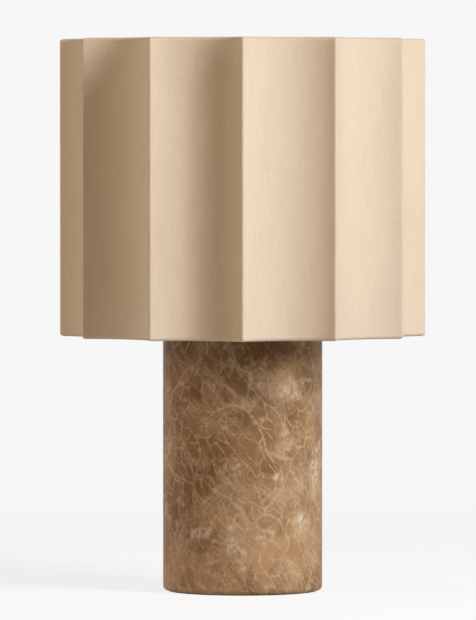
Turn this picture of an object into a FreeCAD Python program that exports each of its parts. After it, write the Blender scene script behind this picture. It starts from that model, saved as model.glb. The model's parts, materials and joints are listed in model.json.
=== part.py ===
# A column table lamp: a marble cylinder with a hollow rod through it, a screw-in lampholder on top,
# and a fluted fabric shade on a wire frame that hangs round the top of the marble.
# Sizes are millimetres and +Z is up. The origin is the centre of the face that the lamp stands on,
# the front is -Y, and the cord goes in at the back, +Y.
import FreeCAD, Part
import math
import os

from FreeCAD import Vector

UP = Vector(0, 0, 1)
BACK = Vector(0, 1, 0)
CENTRE = Vector(0, 0, 0)
HEXAGON_SIDES = 6
RADIUS_MATCH = 0.001

# The marble column and what closes it underneath
COLUMN_RADIUS = 48.0
COLUMN_HEIGHT = 167.5
COLUMN_ARRIS = 1.8
FOOT_THICKNESS = 0.5
FOOT_SET_BACK = 3.0
COVER_THICKNESS = 2.0
COVER_SET_BACK = 1.5
RECESS_RADIUS = 27.0
RECESS_DEPTH = 29.5
ROD_HOLE_RADIUS = 6.0

# The rod that ties the column and the lampholder together
ROD_RADIUS = 5.0
ROD_BORE_RADIUS = 3.75
ROD_BELOW_NUT = 2.0
ROD_IN_CUP = 2.5
NUT_ACROSS_FLATS = 14.0
NUT_THICKNESS = 4.0
CLAMP_LENGTH = 44.0
CLAMP_WIDTH = 18.0
CLAMP_THICKNESS = 2.0
TOP_PLATE_RADIUS = 30.0
TOP_PLATE_THICKNESS = 2.0

# The cord's way in, the terminal block and the lead inside
GLAND_HEIGHT = 15.0
GLAND_RADIUS = 5.0
GLAND_BORE_RADIUS = 3.5
GLAND_HEAD_ACROSS_FLATS = 13.0
GLAND_HEAD_THICKNESS = 2.0
GLAND_SEAT_DEPTH = 1.0
GLAND_PAST_WALL = 2.0
BLOCK_WIDTH = 22.0
BLOCK_DEPTH = 12.0
BLOCK_HEIGHT = 12.0
BLOCK_WAY_WIDTH = 8.0
BLOCK_WEB_HEIGHT = 6.0
LEAD_RADIUS = 2.5

# The lampholder, for the common 27 mm screw cap
CUP_SIDES = 12
CUP_ACROSS_FLATS = 39.0
CUP_HEIGHT = 24.0
CUP_FLOOR = 6.0
INSERT_SIDES = 8
INSERT_ACROSS_FLATS = 32.0
INSERT_BOSS_ACROSS_FLATS = 24.0
INSERT_BOSS_HEIGHT = 3.0
INSERT_POCKET_WIDTH = 20.0
INSERT_POCKET_DEPTH = 8.0
SLEEVE_RADIUS = 19.8
SLEEVE_BORE_RADIUS = 13.4
SLEEVE_HEIGHT = 30.0
FLANGE_ACROSS_FLATS = 56.0
FLANGE_THICKNESS = 2.5
CONTACT_THICKNESS = 0.6
CONTACT_RISE = 1.5
CONTACT_FOOT_LENGTH = 3.0
CONTACT_SLOPE_LENGTH = 1.5
CONTACT_TONGUE_LENGTH = 4.5
CONTACT_WIDTH = 5.0
RING_SIDES = 24
RING_THICKNESS = 2.5
RING_COLLAR_ACROSS_FLATS = 47.0
RING_COLLAR_HEIGHT = 5.0

# The shade: twelve hollow flutes between narrow ridges, with a ridge facing front and back
FLUTES = 12
SHADE_RADIUS = 110.0
FLUTE_DEPTH = 15.0
RIDGE_RADIUS = 1.2
SHADE_HEIGHT = 179.0
SHADE_OVERLAP = 14.5
FABRIC_THICKNESS = 0.6
LINING_THICKNESS = 0.5
WIRE = 3.0
INNER_RIDGE_WIDTH = 1.0
INNER_FLUTE_BENDS = 4
FITTER_RADIUS = 30.0
FITTER_BORE_RADIUS = 21.2
FITTER_THICKNESS = 2.0
ARMS = 4
ARM_WIDTH = 6.0
ARM_THICKNESS = 2.0
ARM_LEVEL_RUN = 8.0
ARM_BEND_RADIUS = 6.0

# The bulb, a slim opal lamp
BULB_LENGTH = 110.0
BULB_RADIUS = 15.0
BULB_END_CHAMFER = 3.0
BULB_CAP_RADIUS = 13.05
BULB_CAP_LENGTH = 27.0
BULB_HOUSING_RADIUS = 14.5
BULB_HOUSING_HEIGHT = 22.0
BULB_CONTACT_RADIUS = 4.8
BULB_CONTACT_HEIGHT = 1.2

# Clearances between pieces
THREAD_GAP = 0.05
SEAT_GAP = 0.2
LOOSE_GAP = 0.3

# Levels that follow from the sizes, from the table upwards
COLUMN_BOTTOM = FOOT_THICKNESS
COLUMN_TOP = COLUMN_BOTTOM + COLUMN_HEIGHT
COVER_BOTTOM = COLUMN_BOTTOM + COVER_SET_BACK
COVER_TOP = COVER_BOTTOM + COVER_THICKNESS
RECESS_TOP = COLUMN_BOTTOM + RECESS_DEPTH
CLAMP_BOTTOM = RECESS_TOP - CLAMP_THICKNESS
NUT_BOTTOM = CLAMP_BOTTOM - NUT_THICKNESS
ROD_BOTTOM = NUT_BOTTOM - ROD_BELOW_NUT
TOP_PLATE_TOP = COLUMN_TOP + TOP_PLATE_THICKNESS
CUP_INSIDE = TOP_PLATE_TOP + CUP_FLOOR
CUP_TOP = TOP_PLATE_TOP + CUP_HEIGHT
ROD_TOP = CUP_INSIDE + ROD_IN_CUP
POCKET_TOP = CUP_INSIDE + INSERT_POCKET_DEPTH
BOSS_TOP = CUP_TOP + INSERT_BOSS_HEIGHT
SLEEVE_TOP = CUP_TOP + SLEEVE_HEIGHT
FLANGE_TOP = CUP_TOP + FLANGE_THICKNESS
FITTER_TOP = FLANGE_TOP + FITTER_THICKNESS
RING_BOTTOM = FITTER_TOP + SEAT_GAP
SHADE_BOTTOM = COLUMN_TOP - SHADE_OVERLAP
SHADE_TOP = SHADE_BOTTOM + SHADE_HEIGHT
BULB_BOTTOM = BOSS_TOP + CONTACT_RISE + CONTACT_THICKNESS + LOOSE_GAP
BULB_CAP_BOTTOM = BULB_BOTTOM + BULB_CONTACT_HEIGHT
BULB_CAP_TOP = BULB_BOTTOM + BULB_CAP_LENGTH
BULB_HOUSING_TOP = BULB_CAP_TOP + BULB_HOUSING_HEIGHT

# Insets of the shade's layers from the outside of the fabric
LINING_INSET = FABRIC_THICKNESS + THREAD_GAP
LINING_INNER_INSET = LINING_INSET + LINING_THICKNESS
WIRE_INSET = LINING_INNER_INSET + THREAD_GAP
WIRE_INNER_INSET = WIRE_INSET + WIRE


def polar(radius, degrees, height):
    """The point at a radius and an angle round the lamp's axis."""
    angle = math.radians(degrees)
    return Vector(radius * math.cos(angle), radius * math.sin(angle), height)


def cylinder(radius, bottom, top):
    """An upright solid cylinder on the lamp's axis."""
    return Part.makeCylinder(radius, top - bottom, Vector(0, 0, bottom))


def tube(radius, bore, bottom, top):
    """An upright tube on the lamp's axis."""
    return cylinder(radius, bottom, top).cut(cylinder(bore, bottom, top))


def block(width, depth, bottom, top):
    """An upright square-cornered block on the lamp's axis."""
    corner = Vector(-width / 2, -depth / 2, bottom)
    return Part.makeBox(width, depth, top - bottom, corner)


def corner_radius(sides, across_flats):
    """How far the corners of an even-sided outline lie from its middle."""
    return across_flats / 2 / math.cos(math.pi / sides)


def prism(sides, across_flats, bottom, top):
    """An upright many-sided prism on the lamp's axis, with a flat side facing front."""
    radius = corner_radius(sides, across_flats)
    corners = [polar(radius, 360 / sides * (i + 0.5) - 90, bottom) for i in range(sides)]
    return Part.Face(Part.makePolygon(corners + corners[:1])).extrude(UP * (top - bottom))


def circles(shape, radius):
    """The shape's round edges of one radius."""
    found = []
    for edge in shape.Edges:
        if isinstance(edge.Curve, Part.Circle) and abs(edge.Curve.Radius - radius) < RADIUS_MATCH:
            found.append(edge)
    return found


def foot_pad():
    """The felt disc glued under the stone."""
    return cylinder(COLUMN_RADIUS - FOOT_SET_BACK, 0, FOOT_THICKNESS)


def bottom_cover():
    """The disc pressed into the mouth of the wiring recess."""
    return cylinder(RECESS_RADIUS - THREAD_GAP, COVER_BOTTOM, COVER_TOP)


def marble_column():
    """The stone cylinder, with eased rims, a rod hole, a wiring recess and the cord's hole."""
    stone = cylinder(COLUMN_RADIUS, COLUMN_BOTTOM, COLUMN_TOP)
    stone = stone.makeChamfer(COLUMN_ARRIS, circles(stone, COLUMN_RADIUS))
    stone = stone.cut(cylinder(RECESS_RADIUS, COLUMN_BOTTOM, RECESS_TOP))
    stone = stone.cut(cylinder(ROD_HOLE_RADIUS, RECESS_TOP, COLUMN_TOP))
    way_in = Vector(0, 0, GLAND_HEIGHT)
    stone = stone.cut(Part.makeCylinder(GLAND_RADIUS + THREAD_GAP, COLUMN_RADIUS, way_in, BACK))
    head_radius = corner_radius(HEXAGON_SIDES, GLAND_HEAD_ACROSS_FLATS)
    seat = Vector(0, gland_seat(), GLAND_HEIGHT)
    return stone.cut(Part.makeCylinder(head_radius + LOOSE_GAP, GLAND_HEAD_THICKNESS, seat, BACK))


def gland_seat():
    """How far back the flat face lies that the gland's head sits on."""
    return COLUMN_RADIUS - GLAND_SEAT_DEPTH


def cord_gland():
    """The bush that lines the cord's hole, with a hexagon head outside."""
    head = prism(HEXAGON_SIDES, GLAND_HEAD_ACROSS_FLATS, 0, GLAND_HEAD_THICKNESS)
    length = gland_seat() - RECESS_RADIUS + GLAND_PAST_WALL
    gland = head.fuse(cylinder(GLAND_RADIUS, -length, 0))
    gland = gland.cut(cylinder(GLAND_BORE_RADIUS, -length, GLAND_HEAD_THICKNESS))
    gland.rotate(CENTRE, Vector(1, 0, 0), -90)
    gland.translate(Vector(0, gland_seat(), GLAND_HEIGHT))
    return gland


def terminal_block():
    """A two-way block that stands on the bottom cover, with a low web between the ways."""
    body = block(BLOCK_WIDTH, BLOCK_DEPTH, COVER_TOP, COVER_TOP + BLOCK_WEB_HEIGHT)
    for side in (-1, 1):
        way = block(BLOCK_WAY_WIDTH, BLOCK_DEPTH, COVER_TOP, COVER_TOP + BLOCK_HEIGHT)
        way.translate(Vector(side * (BLOCK_WIDTH - BLOCK_WAY_WIDTH) / 2, 0, 0))
        body = body.fuse(way)
    return body.removeSplitter()


def inner_lead():
    """The sheathed lead, from between the block's ways up the rod to the insert."""
    return cylinder(LEAD_RADIUS, COVER_TOP + BLOCK_WEB_HEIGHT, POCKET_TOP)


def clamp_plate():
    """The bar across the recess's ceiling that the nut pulls against."""
    bar = block(CLAMP_LENGTH, CLAMP_WIDTH, CLAMP_BOTTOM, RECESS_TOP)
    return bar.cut(cylinder(ROD_RADIUS + LOOSE_GAP, CLAMP_BOTTOM, RECESS_TOP))


def rod_nut():
    """The hexagon nut under the clamp plate."""
    nut = prism(HEXAGON_SIDES, NUT_ACROSS_FLATS, NUT_BOTTOM, CLAMP_BOTTOM)
    return nut.cut(cylinder(ROD_RADIUS + THREAD_GAP, NUT_BOTTOM, CLAMP_BOTTOM))


def threaded_rod():
    """The hollow rod, from the recess up into the lampholder's cup."""
    return tube(ROD_RADIUS, ROD_BORE_RADIUS, ROD_BOTTOM, ROD_TOP)


def top_plate():
    """The disc that spreads the load on top of the stone."""
    return tube(TOP_PLATE_RADIUS, ROD_RADIUS + LOOSE_GAP, COLUMN_TOP, TOP_PLATE_TOP)


def holder_cup():
    """The lower half of the lampholder: flats for grip outside, and a thick floor on the rod."""
    cup = prism(CUP_SIDES, CUP_ACROSS_FLATS, TOP_PLATE_TOP, CUP_TOP)
    across = INSERT_ACROSS_FLATS + 2 * THREAD_GAP
    cup = cup.cut(prism(INSERT_SIDES, across, CUP_INSIDE, CUP_TOP))
    return cup.cut(cylinder(ROD_RADIUS + THREAD_GAP, TOP_PLATE_TOP, CUP_INSIDE))


def holder_insert():
    """The porcelain insert: it stands on the cup's floor over a square pocket for the wires."""
    insert = prism(INSERT_SIDES, INSERT_ACROSS_FLATS, CUP_INSIDE, CUP_TOP)
    insert = insert.fuse(prism(INSERT_SIDES, INSERT_BOSS_ACROSS_FLATS, CUP_TOP, BOSS_TOP))
    return insert.cut(block(INSERT_POCKET_WIDTH, INSERT_POCKET_WIDTH, CUP_INSIDE, POCKET_TOP))


def centre_contact():
    """The springy brass strip: a foot on the insert, a slope, and a tongue under the bulb's tip."""
    tongue = -CONTACT_TONGUE_LENGTH / 2
    slope = tongue - CONTACT_SLOPE_LENGTH
    raised = BOSS_TOP + CONTACT_RISE
    under = [(slope - CONTACT_FOOT_LENGTH, BOSS_TOP), (slope, BOSS_TOP), (tongue, raised), (-tongue, raised)]
    over = [(x, z + CONTACT_THICKNESS) for x, z in reversed(under)]
    corners = [Vector(x, -CONTACT_WIDTH / 2, z) for x, z in under + over]
    return Part.Face(Part.makePolygon(corners + corners[:1])).extrude(BACK * CONTACT_WIDTH)


def side_contacts():
    """Two upright brass strips on the insert, just under the rim of the bulb's cap."""
    middle = (INSERT_BOSS_ACROSS_FLATS - CONTACT_THICKNESS) / 2 - LOOSE_GAP
    strips = []
    for side in (-1, 1):
        strip = block(CONTACT_WIDTH, CONTACT_THICKNESS, BOSS_TOP, BULB_CAP_BOTTOM - LOOSE_GAP)
        strip.translate(Vector(0, side * middle, 0))
        strips.append(strip)
    return Part.makeCompound(strips)


def holder_sleeve():
    """The outer sleeve that takes the bulb's cap, with a flange for the shade at its foot."""
    flange = prism(RING_SIDES, FLANGE_ACROSS_FLATS, CUP_TOP, FLANGE_TOP)
    sleeve = flange.fuse(cylinder(SLEEVE_RADIUS, CUP_TOP, SLEEVE_TOP)).removeSplitter()
    return sleeve.cut(cylinder(SLEEVE_BORE_RADIUS, CUP_TOP, SLEEVE_TOP))


def shade_ring():
    """The ring that screws down the sleeve onto the shade's fitter."""
    middle = RING_BOTTOM + RING_THICKNESS
    top = middle + RING_COLLAR_HEIGHT
    ring = prism(RING_SIDES, FLANGE_ACROSS_FLATS, RING_BOTTOM, middle)
    ring = ring.fuse(prism(RING_SIDES, RING_COLLAR_ACROSS_FLATS, middle, top))
    return ring.cut(cylinder(SLEEVE_RADIUS + LOOSE_GAP, RING_BOTTOM, top))


def flute_circle():
    """The radius of a flute's hollow, and how far its centre lies from the lamp's axis.

    The hollow touches the valley's depth and runs smoothly into the rounding of both its ridges."""
    half_step = math.radians(180 / FLUTES)
    nose = SHADE_RADIUS - RIDGE_RADIUS
    floor = SHADE_RADIUS - FLUTE_DEPTH - RIDGE_RADIUS
    distance = (nose ** 2 - floor ** 2) / (2 * (nose * math.cos(half_step) - floor))
    return distance - (SHADE_RADIUS - FLUTE_DEPTH), distance


def outer_outline(height):
    """The outside of the fabric: an arc for each flute and a small arc over each ridge."""
    step = 360 / FLUTES
    radius, distance = flute_circle()
    nose = SHADE_RADIUS - RIDGE_RADIUS
    share = RIDGE_RADIUS / (radius + RIDGE_RADIUS)
    x = nose + share * (distance * math.cos(math.radians(step / 2)) - nose)
    y = share * distance * math.sin(math.radians(step / 2))
    reach = math.hypot(x, y)
    spread = math.degrees(math.atan2(y, x))
    edges = []
    for i in range(FLUTES):
        ridge = i * step - 90
        start = polar(reach, ridge - spread, height)
        tip = polar(SHADE_RADIUS, ridge, height)
        end = polar(reach, ridge + spread, height)
        floor = polar(SHADE_RADIUS - FLUTE_DEPTH, ridge + step / 2, height)
        following = polar(reach, ridge + step - spread, height)
        edges.append(Part.Arc(start, tip, end).toShape())
        edges.append(Part.Arc(end, floor, following).toShape())
    return Part.Wire(edges)


def inner_flute(i, inset, height):
    """A flute's hollow moved in by an inset: its centre, radius, direction and turn to each side.

    It ends half the inner ridge's width short of the ridge's middle."""
    step = 360 / FLUTES
    radius, distance = flute_circle()
    to_ridge = distance * math.sin(math.radians(step / 2)) - INNER_RIDGE_WIDTH / 2
    half_turn = math.degrees(math.asin(to_ridge / (radius + inset))) - step / 2
    valley = (i + 0.5) * step - 90
    return polar(distance, valley, height), radius + inset, valley + 180, half_turn


def fabric_inside(height):
    """The inside of the fabric: an arc for each flute and one narrow facet at each ridge."""
    edges = []
    flutes = [inner_flute(i, FABRIC_THICKNESS, height) for i in range(FLUTES)]
    for flute, following in zip(flutes, flutes[1:] + flutes[:1]):
        centre, radius, inward, half_turn = flute
        start, floor, end = [centre + polar(radius, inward + turn, 0) for turn in (half_turn, 0, -half_turn)]
        centre, radius, inward, half_turn = following
        next_start = centre + polar(radius, inward + half_turn, 0)
        edges.append(Part.Arc(start, floor, end).toShape())
        edges.append(Part.LineSegment(end, next_start).toShape())
    return Part.Wire(edges)


def inner_outline(inset, height):
    """The outline moved in by an inset, for the layers that lie inside the fabric.

    Each flute is a run of short facets that touch its arc, and each ridge is one narrow facet."""
    corners = []
    for i in range(FLUTES):
        centre, radius, inward, half_turn = inner_flute(i, inset, height)
        half_bend = half_turn / INNER_FLUTE_BENDS
        reach = radius / math.cos(math.radians(half_bend))
        corners.append(centre + polar(radius, inward + half_turn, 0))
        for k in range(INNER_FLUTE_BENDS):
            corners.append(centre + polar(reach, inward + half_turn - (2 * k + 1) * half_bend, 0))
        corners.append(centre + polar(radius, inward - half_turn, 0))
    return Part.makePolygon(corners + corners[:1])


def fluted_band(outer, inner, height):
    """An upright fluted wall between two outlines."""
    wall = Part.Face(outer).extrude(UP * height)
    return wall.cut(Part.Face(inner).extrude(UP * height))


def shade_cover():
    """The fabric of the shade."""
    return fluted_band(outer_outline(SHADE_BOTTOM), fabric_inside(SHADE_BOTTOM), SHADE_HEIGHT)


def shade_lining():
    """The stiff white sheet that the fabric is bonded to."""
    outside = inner_outline(LINING_INSET, SHADE_BOTTOM)
    return fluted_band(outside, inner_outline(LINING_INNER_INSET, SHADE_BOTTOM), SHADE_HEIGHT)


def frame_wire(bottom):
    """A square wire bent to the shade's outline, against the lining."""
    return fluted_band(inner_outline(WIRE_INSET, bottom), inner_outline(WIRE_INNER_INSET, bottom), WIRE)


def frame_top_ring():
    """The shaped wire in the top edge."""
    return frame_wire(SHADE_TOP - FABRIC_THICKNESS - WIRE)


def frame_bottom_ring():
    """The shaped wire in the bottom edge."""
    return frame_wire(SHADE_BOTTOM + FABRIC_THICKNESS)


def spider():
    """The fitter washer on the lampholder's flange, and the arms from it down to the bottom wire."""
    pieces = [tube(FITTER_RADIUS, FITTER_BORE_RADIUS, FLANGE_TOP, FITTER_TOP)]
    for i in range(ARMS):
        arm = spider_arm().cut(cylinder(FITTER_RADIUS, FLANGE_TOP, FITTER_TOP))
        arm.rotate(CENTRE, UP, 360 / ARMS * (i + 0.5))
        pieces.append(arm)
    return Part.makeCompound(pieces)


def spider_arm():
    """A flat strip along +X: level through the washer's rim, down a slope, and level onto the wire."""
    high = FITTER_TOP - ARM_THICKNESS / 2
    low = SHADE_BOTTOM + FABRIC_THICKNESS + WIRE + ARM_THICKNESS / 2
    inner = FITTER_RADIUS - ARM_THICKNESS
    outer = SHADE_RADIUS - FLUTE_DEPTH - WIRE_INSET - LOOSE_GAP
    corners = [(inner, high), (inner + ARM_LEVEL_RUN, high), (outer - ARM_LEVEL_RUN, low), (outer, low)]
    points = [Vector(x, 0, z) for x, z in corners]
    path = []
    start = points[0]
    for before, corner, after in zip(points, points[1:], points[2:]):
        arriving = (corner - before).normalize()
        leaving = (after - corner).normalize()
        half_turn = arriving.getAngle(leaving) / 2
        trim = ARM_BEND_RADIUS * math.tan(half_turn)
        bulge = ARM_BEND_RADIUS / math.cos(half_turn) - ARM_BEND_RADIUS
        bend_start = corner - arriving * trim
        bend_middle = corner + (leaving - arriving).normalize() * bulge
        bend_end = corner + leaving * trim
        path.append(Part.LineSegment(start, bend_start).toShape())
        path.append(Part.Arc(bend_start, bend_middle, bend_end).toShape())
        start = bend_end
    path.append(Part.LineSegment(start, points[-1]).toShape())
    across = Vector(0, ARM_WIDTH / 2, 0)
    rise = Vector(0, 0, ARM_THICKNESS / 2)
    first = points[0]
    section = [first - across - rise, first + across - rise, first + across + rise, first - across + rise]
    return Part.Wire(path).makePipeShell([Part.makePolygon(section + section[:1])], True, False)


def bulb_contact():
    """The metal tip of the bulb."""
    return cylinder(BULB_CONTACT_RADIUS, BULB_BOTTOM, BULB_CAP_BOTTOM)


def bulb_cap():
    """The bulb's screw cap, as a plain cylinder without its thread."""
    return cylinder(BULB_CAP_RADIUS, BULB_CAP_BOTTOM, BULB_CAP_TOP)


def bulb_housing():
    """The white housing between the cap and the envelope."""
    return cylinder(BULB_HOUSING_RADIUS, BULB_CAP_TOP, BULB_HOUSING_TOP)


def bulb_envelope():
    """The opal envelope, with an eased end."""
    top = BULB_BOTTOM + BULB_LENGTH
    envelope = cylinder(BULB_RADIUS, BULB_HOUSING_TOP, top)
    end_rim = max(circles(envelope, BULB_RADIUS), key=lambda rim: rim.Curve.Center.z)
    return envelope.makeChamfer(BULB_END_CHAMFER, [end_rim])


PIECES = [
    foot_pad,
    bottom_cover,
    marble_column,
    cord_gland,
    terminal_block,
    inner_lead,
    clamp_plate,
    rod_nut,
    threaded_rod,
    top_plate,
    holder_cup,
    holder_insert,
    centre_contact,
    side_contacts,
    holder_sleeve,
    shade_ring,
    shade_cover,
    shade_lining,
    frame_top_ring,
    frame_bottom_ring,
    spider,
    bulb_contact,
    bulb_cap,
    bulb_housing,
    bulb_envelope,
]

os.makedirs("parts", exist_ok=True)
for piece in PIECES:
    shape = piece()
    shape.exportStep(f"parts/{piece.__name__}.step")
    print(f"{piece.__name__}: {len(shape.Solids)} solid, {shape.Volume / 1000:.2f} cm3")
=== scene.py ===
# A column table lamp: a veined stone cylinder, a screw-in lampholder with a slim bulb, and a fluted
# shade of stiffened linen on a wire frame. Lengths are in metres, +Z is up, and the front is -Y.
import json
import math

import bmesh
import bpy
from bpy.props import FloatProperty, FloatVectorProperty, IntProperty, PointerProperty
from mathutils import Color, Matrix, Vector


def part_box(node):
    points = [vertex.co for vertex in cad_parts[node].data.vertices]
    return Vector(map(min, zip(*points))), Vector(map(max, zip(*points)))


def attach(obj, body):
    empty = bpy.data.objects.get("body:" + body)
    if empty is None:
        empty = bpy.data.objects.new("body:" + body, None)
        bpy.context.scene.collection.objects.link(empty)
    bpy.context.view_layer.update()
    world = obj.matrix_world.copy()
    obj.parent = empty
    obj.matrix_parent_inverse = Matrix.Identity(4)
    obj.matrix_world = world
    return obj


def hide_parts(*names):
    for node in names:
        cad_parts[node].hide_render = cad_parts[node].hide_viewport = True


bl_info = {
    "name": "Column Table Lamp",
    "version": (1, 0, 0),
    "blender": (4, 5, 0),
    "location": "3D View > Sidebar > Lamp",
    "description": "Stone column table lamp with a fluted linen shade, lampholder, bulb and fittings",
    "category": "Object",
}

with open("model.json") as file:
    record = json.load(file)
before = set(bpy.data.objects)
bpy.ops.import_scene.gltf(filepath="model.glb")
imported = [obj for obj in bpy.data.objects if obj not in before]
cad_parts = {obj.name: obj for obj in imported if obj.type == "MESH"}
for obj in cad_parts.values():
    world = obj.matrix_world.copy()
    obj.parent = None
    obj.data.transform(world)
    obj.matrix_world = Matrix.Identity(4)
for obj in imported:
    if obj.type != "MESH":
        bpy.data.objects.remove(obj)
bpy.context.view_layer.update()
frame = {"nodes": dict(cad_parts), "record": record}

MM = 0.001

# Meshes: the least angle of a sharp edge, the steps of an arc, and the short step beside each arc
SHARP_ANGLE = math.radians(38)
ARC_STEP = math.radians(15)
ARC_SUPPORT = 0.15
MERGE_DISTANCE = 0.001 * MM

# Roundings of edges, from the sharpest
SPRING_EDGE = 0.1 * MM
CRISP = 0.2 * MM
FINE = 0.3 * MM
SLIGHT = 0.4 * MM
SOFT = 0.5 * MM

# Gaps between pieces, and how deep a rib's foot lies in its wall
THREAD_GAP = 0.05 * MM
LOOSE_GAP = 0.3 * MM
RIB_SUNK = 0.3 * MM

# The shade's cloth: its turned-in edges. Insets are from the outside of the cloth
TURNED_IN_INSET = 4.4 * MM
TUCKED_INSET = 1.4 * MM
HEM_PAST_WIRE = 4.0 * MM
HEM_SLOPE = 3.0 * MM
HEM_BEND = 1.2 * MM
RIM_BEND = 1.75 * MM

# The lining and the wires, and the least rounding that a sheet or a wire keeps over a ridge
LINING_INSET = 0.65 * MM
LINING_INNER_INSET = 1.15 * MM
LINING_SET_BACK = 1.0 * MM
WIRE_INSET = 1.3 * MM
WIRE_SIDES = 16
SHEET_RIDGE = 0.35 * MM
WIRE_RIDGE = 1.0 * MM
FLUTE_STEPS = 26
RIDGE_STEPS = 4

# The spider's strips and its washer. An arm lies a little inside the washer's faces
STRIP_THICKNESS = 2 * MM
ARM_WIDTH = 6 * MM
ARM_LEVEL = 8 * MM
ARM_BEND = 6 * MM
ARM_REACH = 93.6 * MM
ARM_FLATTENED = 0.98
ARM_COUNT = 4
ARM_ANGLE = math.radians(45)
WASHER_RIM = 30 * MM
WASHER_BORE = 21.2 * MM

# The holes in the stone
ROD_CLEARANCE = 1.0 * MM
GLAND_HEAD = 2.0 * MM
GLAND_HOLE_RADIUS = 5.05 * MM
GLAND_SEAT_RADIUS = 7.81 * MM
DRILL_OVERRUN = 4 * MM

# From the bottom of the bulb's glass to the bottom of its cap's shell
CAP_SHELL_RISE = 4.5 * MM


def srgb(red, green, blue):
    """A colour given as screen values from 0 to 255, as the linear red, green and blue of a socket."""
    return tuple(Color((red / 255, green / 255, blue / 255)).from_srgb_to_scene_linear())


def grey(level):
    """A grey of one level, as a socket's colour."""
    return (level, level, level, 1)


def placed(name, data):
    """A new object in the scene."""
    made = bpy.data.objects.new(name, data)
    bpy.context.scene.collection.objects.link(made)
    return made


class Node:
    """What the frame says of one solid: its radius, its levels, its body and its slot."""

    def __init__(self, name):
        low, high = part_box(name)
        record = frame["record"]
        self.name = name
        self.radius = high.x
        self.bottom = low.z
        self.top = high.z
        self.body = next(b for b, nodes in record["behaviour"]["bodies"].items() if name in nodes)
        self.slot = next(p["material_slot"] for p in record["subparts"] if p["node"] == name)


# Node trees


def maths_operator(operation, reflected=False):
    """A Python operator on values that adds a Math node."""

    def apply(value, other):
        return value.graph.maths(operation, *((other, value) if reflected else (value, other)))

    return apply


class Value:
    """One output in a node tree, so that maths on it is written as a plain expression."""

    def __init__(self, graph, socket):
        self.graph = graph
        self.socket = socket

    __add__ = __radd__ = maths_operator("ADD")
    __sub__ = maths_operator("SUBTRACT")
    __rsub__ = maths_operator("SUBTRACT", reflected=True)
    __mul__ = __rmul__ = maths_operator("MULTIPLY")
    __truediv__ = maths_operator("DIVIDE")
    __rtruediv__ = maths_operator("DIVIDE", reflected=True)
    __gt__ = maths_operator("GREATER_THAN")


class Graph:
    """A node tree under construction."""

    def __init__(self, tree):
        self.tree = tree

    def node(self, kind, settings=None, values=None, out=0):
        """Adds a node: its settings first, then the values or links of its inputs, by name or number."""
        node = self.tree.nodes.new(kind)
        for name, setting in (settings or {}).items():
            if name == "stops":
                self.stops(node.color_ramp.elements, setting)
            else:
                setattr(node, name, setting)
        for key, value in (values or {}).items():
            if isinstance(value, Value):
                self.tree.links.new(value.socket, node.inputs[key])
            else:
                node.inputs[key].default_value = value
        return Value(self, node.outputs[out]) if node.outputs else None

    def stops(self, elements, stops):
        """Puts a ramp's colours at their positions, in order."""
        elements.remove(elements[-1])
        elements[0].position = stops[0][0]
        elements[0].color = (*stops[0][1], 1)
        for position, colour in stops[1:]:
            elements.new(position).color = (*colour, 1)

    def maths(self, operation, *values):
        """A Math node on one, two or three numbers or values."""
        return self.node("ShaderNodeMath", {"operation": operation}, dict(enumerate(values)))

    def vector(self, operation, *values):
        """A Vector Math node on vectors or values."""
        return self.node("ShaderNodeVectorMath", {"operation": operation}, dict(enumerate(values)))

    def scaled(self, vector, factor):
        """A vector times a number."""
        return self.node("ShaderNodeVectorMath", {"operation": "SCALE"}, {0: vector, "Scale": factor})

    def joined(self, x, y, z):
        """A vector from its three numbers."""
        return self.node("ShaderNodeCombineXYZ", values={"X": x, "Y": y, "Z": z})

    def parts(self, vector):
        """A vector's three numbers."""
        x = self.node("ShaderNodeSeparateXYZ", values={0: vector})
        return [Value(self, output) for output in x.socket.node.outputs]

    def ramp(self, value, low, high):
        """How far a value has come from low to high, from 0 to 1 with a soft start and end."""
        values = {"Value": value, "From Min": low, "From Max": high}
        return self.node("ShaderNodeMapRange", {"interpolation_type": "SMOOTHSTEP"}, values)

    def length(self, vector):
        """A vector's length."""
        return self.node("ShaderNodeVectorMath", {"operation": "LENGTH"}, {0: vector}, out="Value")

    def most(self, first, *others):
        """The largest of several values."""
        for other in others:
            first = self.maths("MAXIMUM", first, other)
        return first

    def mix(self, factor, first, second):
        """Two colours mixed by a factor."""
        values = {0: factor, 6: self.opaque(first), 7: self.opaque(second)}
        return self.node("ShaderNodeMix", {"data_type": "RGBA"}, values, out=2)

    def opaque(self, colour):
        """A colour with its fourth number, unless it is a value already."""
        return colour if isinstance(colour, Value) else (*colour, 1)


class Finish(Graph):
    """A material's node tree. Patterns are in metres on Object coordinates or on the piece's UV map."""

    def __init__(self, name):
        self.material = bpy.data.materials.new(name)
        self.material.use_nodes = True
        super().__init__(self.material.node_tree)
        self.tree.nodes.clear()

    def place(self):
        """The piece's own coordinates."""
        return self.node("ShaderNodeTexCoord", out="Object")

    def noise(self, place, size, detail=2.0, rough=0.5, out=0):
        """Cloudy noise from 0 to 1 whose blobs are about one size across, in metres."""
        values = {"Vector": place, "Scale": 1 / size, "Detail": detail, "Roughness": rough}
        return self.node("ShaderNodeTexNoise", values=values, out=out)

    def colours(self, value, *stops):
        """A colour for each value from 0 to 1, from stops of a position and a colour."""
        return self.node("ShaderNodeValToRGB", {"stops": stops}, {"Fac": value})

    def done(self, sockets, height=None, depth=0.0):
        """Ends the tree in a Principled shader, with an optional height in metres times a depth."""
        values = dict(sockets)
        if height is not None:
            values["Normal"] = self.node("ShaderNodeBump", values={"Distance": depth, "Height": height})
        values["Base Color"] = self.opaque(values["Base Color"])
        surface = self.node("ShaderNodeBsdfPrincipled", values=values)
        self.node("ShaderNodeOutputMaterial", values={"Surface": surface})
        return self.material


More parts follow.
